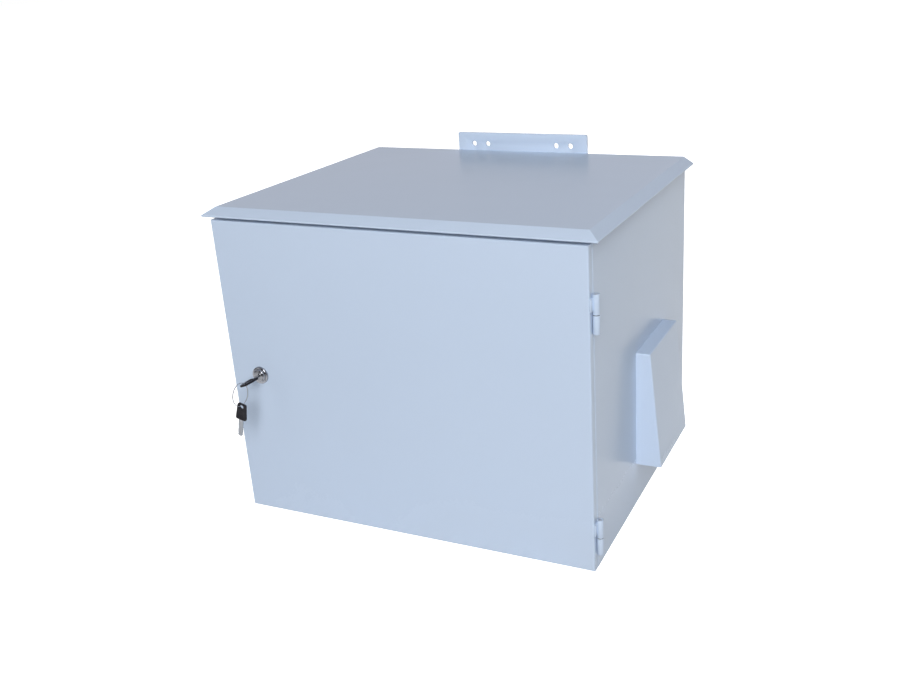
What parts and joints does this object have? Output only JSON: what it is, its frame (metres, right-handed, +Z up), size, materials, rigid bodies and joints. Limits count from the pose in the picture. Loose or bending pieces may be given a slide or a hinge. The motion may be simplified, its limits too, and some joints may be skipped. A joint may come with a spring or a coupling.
{
  "type": "roadside utility cabinet",
  "caption": "Folded steel cabinet with a drip-edge roof, one hinged door with a cam lock and keys, a rain hood over a side vent, and an upright fixing plate behind the roof.",
  "frame": {"origin": "on the floor the cabinet stands on, midway between its sides and midway between the door's face and the back wall", "axes": "+X to the hinges and the hood, -Y out of the door, +Y to the wall, +Z up"},
  "size_m": [0.6545, 0.5772, 0.54],
  "materials": {
    "powder_coat": "glossy pale blue-grey powder coat, faint orange peel",
    "lock_chrome": "polished chrome plate",
    "key_steel": "nickel plated, lightly scratched",
    "key_plastic": "moulded, fine grain",
    "zinc_plate": "bright zinc plate",
    "galvanised": "galvanised, spangled",
    "acetal": "turned, satin",
    "foam": "foamed skin, matt",
    "rubber": "moulded, satin",
    "filter_felt": "needled felt"
  },
  "bodies": {
    "cabinet": {"body_shell": "powder_coat", "roof": "powder_coat", "vent_hood": "powder_coat", "wall_bracket": "powder_coat", "body_hinge_upper": "powder_coat", "body_hinge_lower": "powder_coat", "hinge_pins": "zinc_plate", "hinge_washers": "acetal", "hood_screws": "zinc_plate", "hood_nuts": "zinc_plate", "bracket_screws": "zinc_plate", "bracket_nuts": "zinc_plate", "mounting_plate": "galvanised", "plate_studs": "zinc_plate", "plate_spacers": "zinc_plate", "plate_washers": "zinc_plate", "plate_nuts": "zinc_plate", "din_rail_upper": "galvanised", "din_rail_lower": "galvanised", "rail_screws": "zinc_plate", "gland_plate": "galvanised", "gland_gasket": "foam", "gland_studs": "zinc_plate", "gland_nuts": "zinc_plate", "cable_grommets": "rubber", "vent_guard": "galvanised", "filter_mat": "filter_felt", "filter_frame": "galvanised", "earth_stud": "zinc_plate", "earth_washer": "zinc_plate", "earth_nut": "zinc_plate"},
    "door": {"door_shell": "powder_coat", "door_gasket": "foam", "door_hinge_upper": "powder_coat", "door_hinge_lower": "powder_coat", "lock_housing": "lock_chrome", "lock_nut": "zinc_plate"},
    "lock": {"lock_plug": "lock_chrome", "lock_cam": "zinc_plate", "cam_washer": "zinc_plate", "cam_nut": "zinc_plate"},
    "key": {"key_blade": "key_steel", "key_head": "key_plastic"},
    "ring": {"key_ring": "key_steel"},
    "spare_key": {"spare_key_blade": "key_steel", "spare_key_head": "key_plastic"}
  },
  "joints": [
    {"name": "door_hinge", "type": "hinge", "parent": "cabinet", "child": "door", "pos_m": [0.3055, -0.239, 0.223], "axis": [0, 0, 1], "range_deg": [0, 160]},
    {"name": "lock_turn", "type": "hinge", "parent": "door", "child": "lock", "pos_m": [-0.247, -0.25, 0.244], "axis": [0, 1, 0], "range_deg": [0, 90]},
    {"name": "key_slide", "type": "slide", "parent": "lock", "child": "key", "axis": [0, -1, 0], "range_m": [0, 0.022]},
    {"name": "ring_swing", "type": "hinge", "parent": "key", "child": "ring", "pos_m": [-0.247, -0.29, 0.244], "axis": [-1, 0, 0], "range_deg": [0, 60]},
    {"name": "spare_key_swing", "type": "hinge", "parent": "ring", "child": "spare_key", "pos_m": [-0.247, -0.30438, 0.21517], "axis": [0, 1, 0], "range_deg": [-73, 47]}
  ]
}
